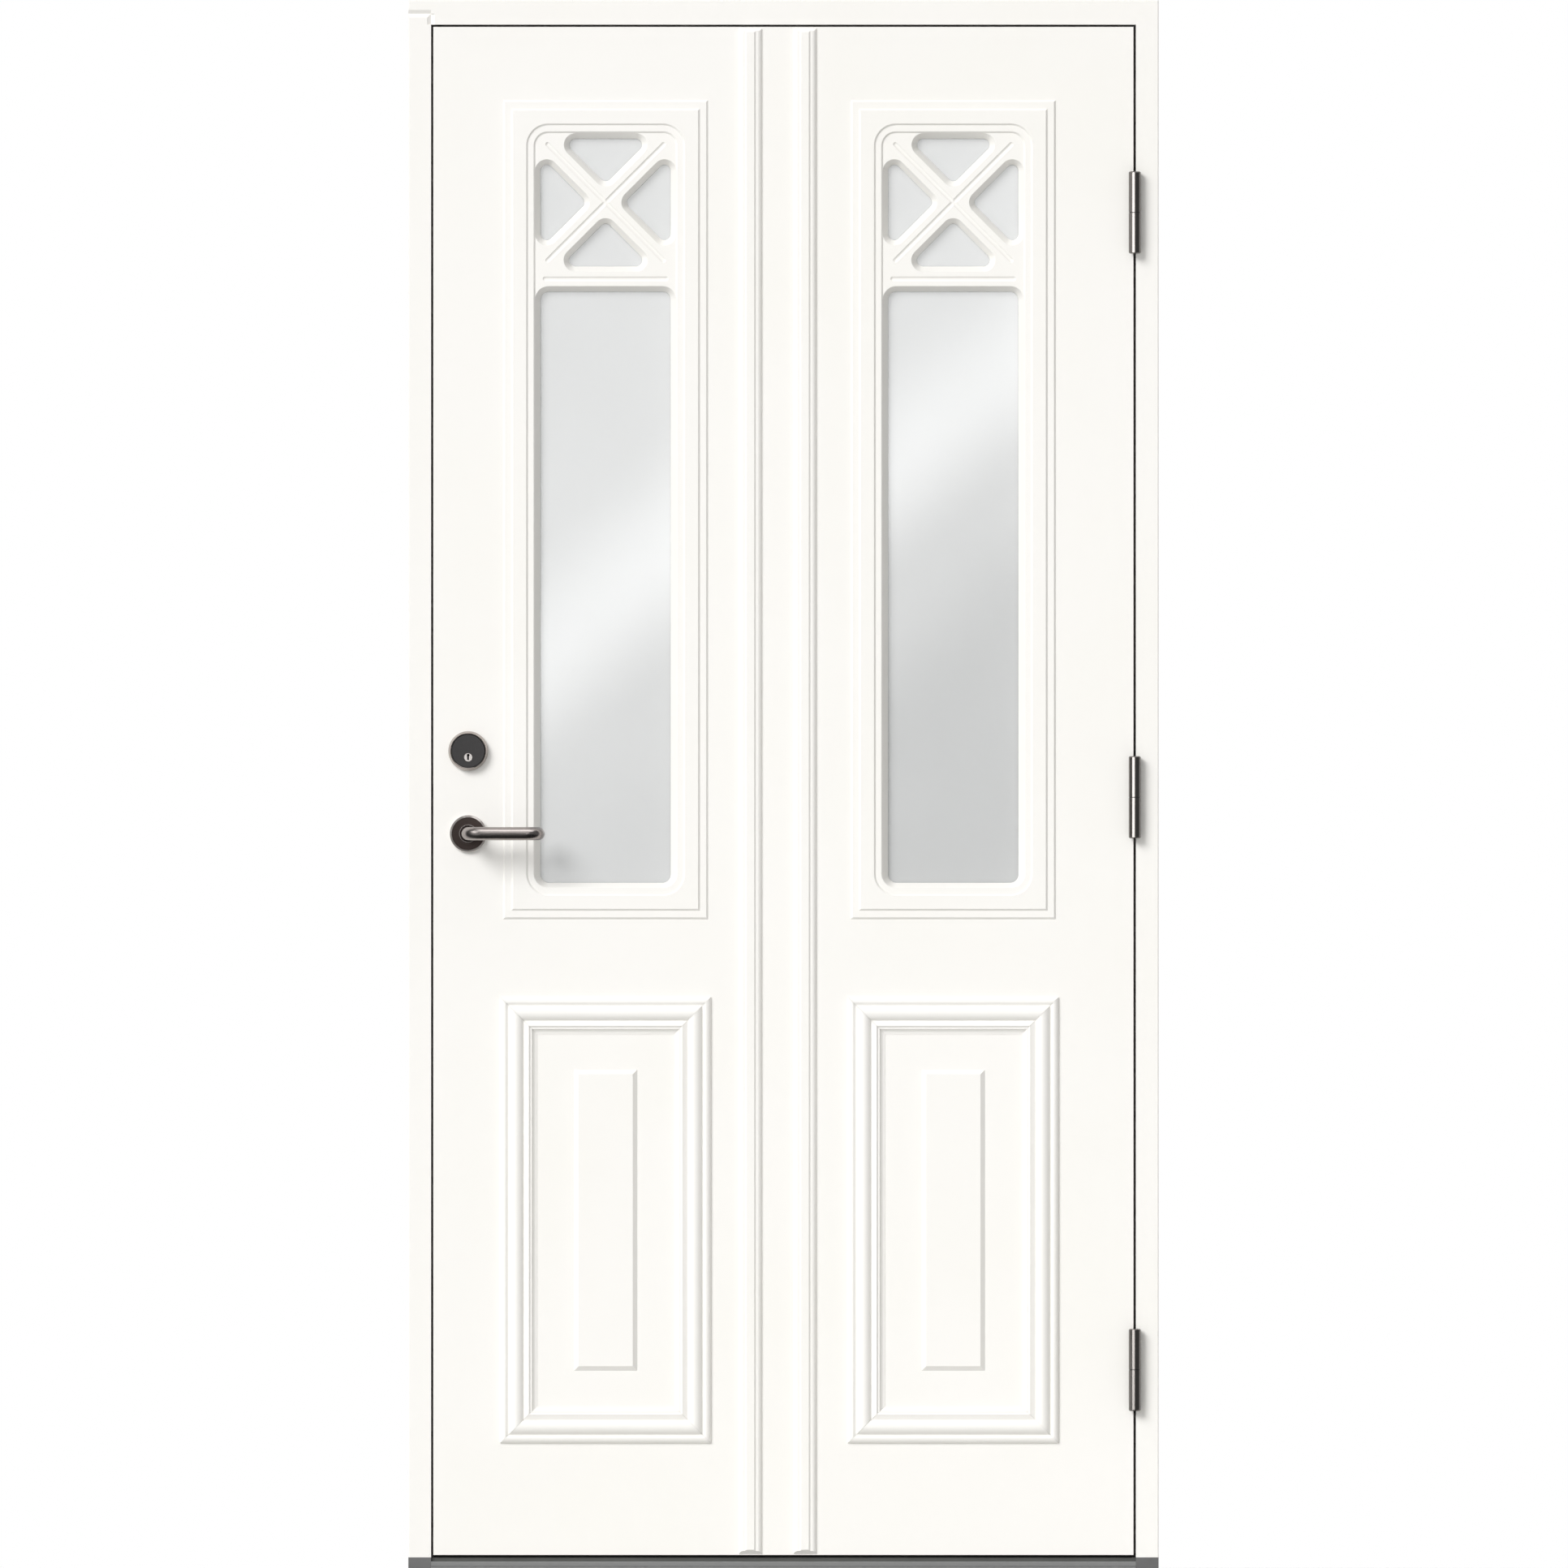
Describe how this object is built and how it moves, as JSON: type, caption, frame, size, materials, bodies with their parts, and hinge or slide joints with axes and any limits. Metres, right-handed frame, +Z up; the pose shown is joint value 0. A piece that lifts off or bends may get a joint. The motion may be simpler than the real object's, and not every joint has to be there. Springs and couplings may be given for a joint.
{
  "type": "glazed front door",
  "caption": "White outward-opening front door in its frame, with crossed-bar lights, moulded panels, lever handle, lock cylinder, barrel hinges and a low threshold",
  "frame": {"origin": "middle of the threshold's underside, at the middle of the frame's width and depth", "axes": "+X across the door towards the hinges, -Y towards the outside, +Z up"},
  "size_m": [0.99, 0.1775, 2.08],
  "materials": {
    "aluminium": "mill-finish anodised",
    "bright": "polished nickel",
    "dark_disc": "satin dark grey",
    "foam": "rigid foam",
    "glass": "float glass, outer pane lightly satin-etched",
    "hinge": "polished dark nickel",
    "moulded": "semi-matt white moulding",
    "nickel": "brushed nickel",
    "nylon": "black nylon",
    "painted": "high-density fibreboard, painted semi-matt white",
    "rubber": "black rubber",
    "seal": "dark grey rubber",
    "sill": "grey composite body",
    "steel": "zinc-plated steel",
    "timber_white": "painted timber, semi-matt white"
  },
  "bodies": {
    "frame": {"head": "timber_white", "hinge_jamb": "timber_white", "lock_jamb": "timber_white", "threshold_body": "sill", "threshold_cap": "aluminium", "threshold_strip": "seal", "frame_seal": "rubber", "strike_plate": "steel", "strike_screws": "steel", "hinge_frame_upper": "hinge", "hinge_frame_middle": "hinge", "hinge_frame_lower": "hinge", "hinge_pins": "steel", "hinge_washers": "nylon", "hinge_screws_frame": "steel"},
    "leaf": {"astragal_left": "moulded", "astragal_right": "moulded", "bottom_rail": "timber_white", "cylinder_housing": "dark_disc", "cylinder_ring": "bright", "faceplate_screws": "steel", "gaskets_left": "rubber", "gaskets_right": "rubber", "glass_left": "glass", "glass_right": "glass", "hinge_leaf_lower": "hinge", "hinge_leaf_middle": "hinge", "hinge_leaf_upper": "hinge", "hinge_screws_leaf": "steel", "hinge_stile": "timber_white", "inner_glazing_frame_left": "moulded", "inner_glazing_frame_right": "moulded", "inner_rose": "nickel", "inner_skin": "painted", "insulation_core": "foam", "lock_case": "steel", "lock_faceplate": "steel", "lock_stile": "timber_white", "outer_glazing_frame_left": "moulded", "outer_glazing_frame_right": "moulded", "outer_rose": "nickel", "outer_skin": "painted", "panel_moulding_left": "moulded", "panel_moulding_right": "moulded", "raised_panel_left": "moulded", "raised_panel_right": "moulded", "spacers_left": "aluminium", "spacers_right": "aluminium", "sweep_seal": "rubber", "thumbturn_rose": "nickel", "top_rail": "timber_white"},
    "handle_set": {"outer_lever": "nickel", "inner_lever": "nickel", "spindle": "steel", "lock_follower": "steel"},
    "latch": {"latch_bolt": "steel"},
    "bolt": {"deadbolt": "steel"},
    "turn": {"thumbturn": "nickel"},
    "plug": {"key_plug": "bright"}
  },
  "joints": [
    {"name": "leaf_hinge", "type": "hinge", "parent": "frame", "child": "leaf", "pos_m": [0.4635, -0.061, 1.028], "axis": [0, 0, 1], "range_deg": [0, 110]},
    {"name": "handle_turn", "type": "hinge", "parent": "leaf", "child": "handle_set", "pos_m": [-0.416, -0.0215, 0.98], "axis": [0, 1, 0], "range_deg": [0, 45], "stiffness_Nm_per_rad": 1.5, "springref_deg": -28.65},
    {"name": "latch_slide", "type": "slide", "parent": "leaf", "child": "latch", "axis": [-1, 0, 0], "range_m": [0, 0.012]},
    {"name": "thumb_turn", "type": "hinge", "parent": "leaf", "child": "turn", "pos_m": [-0.416, 0.0175, 1.089], "axis": [0, 1, 0], "range_deg": [0, 90]},
    {"name": "bolt_slide", "type": "slide", "parent": "leaf", "child": "bolt", "axis": [-1, 0, 0], "range_m": [0, 0.02]},
    {"name": "plug_turn", "type": "hinge", "parent": "leaf", "child": "plug", "pos_m": [-0.416, -0.0525, 1.0806], "axis": [0, 1, 0], "range_deg": [-90, 90]}
  ],
  "couplings": [
    {"joint": "thumb_turn", "follows": "bolt_slide", "rad_per_m": 78.539}
  ]
}
